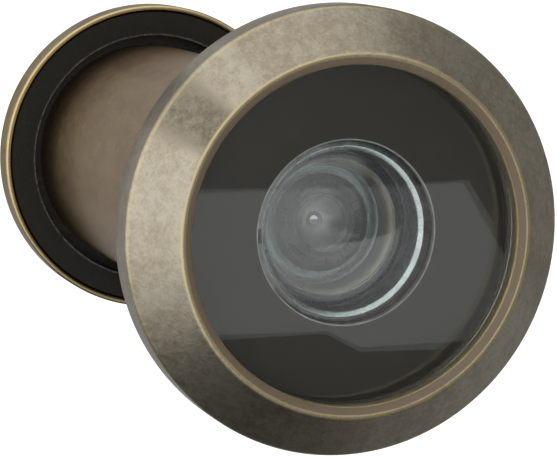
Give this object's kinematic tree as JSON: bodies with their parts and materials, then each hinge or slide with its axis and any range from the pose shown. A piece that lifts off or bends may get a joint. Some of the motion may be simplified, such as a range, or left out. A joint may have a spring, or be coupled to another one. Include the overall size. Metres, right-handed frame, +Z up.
{
  "type": "door viewer",
  "caption": "Wide-angle door viewer: bevelled brass exterior flange with large lens, threaded barrel with lens stack, and interior sleeve with cupped flange and eyepiece",
  "frame": {"origin": "on the barrel's axis, in the plane of the exterior flange's seat on the door", "axes": "+Y runs along the barrel from the street to the room, +Z is up, +X completes a right-handed frame"},
  "size_m": [0.0254, 0.0452, 0.0254],
  "materials": {
    "antique_brass": "antique brass, browned and relieved on the edges",
    "lens_glass": "polished",
    "black_mask": "matt black",
    "blackened_brass": "blackened, matt",
    "black_fibre": "black vulcanised fibre"
  },
  "bodies": {
    "exterior": {"exterior_bezel": "antique_brass", "objective_barrel": "antique_brass", "front_lens": "lens_glass", "lens_mask": "black_mask", "retaining_ring": "blackened_brass", "second_lens": "lens_glass", "lens_spacer": "blackened_brass", "third_lens": "lens_glass", "field_stop": "blackened_brass"},
    "clamping_washer": {"interior_washer": "black_fibre"},
    "interior": {"interior_sleeve": "antique_brass", "interior_flange": "antique_brass", "eyepiece_stop": "blackened_brass", "eyepiece_lens": "lens_glass", "eyepiece_ring": "blackened_brass"}
  },
  "joints": [
    {"name": "interior_slide", "type": "slide", "parent": "exterior", "child": "clamping_washer", "axis": [0, 1, 0], "range_m": [-0.003, 0.0235]},
    {"name": "interior_turn", "type": "hinge", "parent": "clamping_washer", "child": "interior", "pos_m": [0, 0.038, 0], "axis": [0, 1, 0], "range_deg": [-1080, 8460]}
  ],
  "couplings": [
    {"joint": "interior_slide", "follows": "interior_turn", "m_per_rad": 0.00015915}
  ]
}
